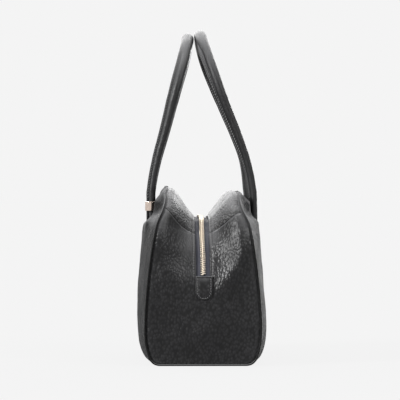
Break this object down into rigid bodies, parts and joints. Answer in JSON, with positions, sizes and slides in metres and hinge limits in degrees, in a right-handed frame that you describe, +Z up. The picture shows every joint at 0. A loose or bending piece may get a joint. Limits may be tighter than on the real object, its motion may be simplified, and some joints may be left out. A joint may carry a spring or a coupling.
{
  "type": "boston bag",
  "caption": "Soft black pebbled-leather boston bag with a top zip running down both ends, piped seams and two rolled handles.",
  "frame": {"origin": "middle of the base, on the surface that the bag stands on", "axes": "+X along the bag to the end that the picture shows, -Y to the front, the side with the ringed handle, +Z up"},
  "size_m": [0.3063, 0.1481, 0.3809],
  "materials": {
    "leather_black": "pebble grain, semi-gloss",
    "zip_tape": "woven",
    "zip_metal": "polished pale gold",
    "ring_metal": "polished rose gold"
  },
  "bodies": {
    "root": {"body_wrap": "leather_black", "end_panel_right": "leather_black", "end_panel_left": "leather_black", "top_strip_front": "leather_black", "top_strip_back": "leather_black", "zip_tape": "zip_tape", "zip_chain": "zip_metal", "zip_slider": "zip_metal", "zip_tab_right": "leather_black", "zip_tab_left": "leather_black", "piping_end_right": "leather_black", "piping_end_left": "leather_black", "piping_top_front": "leather_black", "piping_top_back": "leather_black", "handle_front": "leather_black", "handle_back": "leather_black", "handle_ring_right": "ring_metal", "handle_ring_left": "ring_metal"}
  },
  "joints": []
}
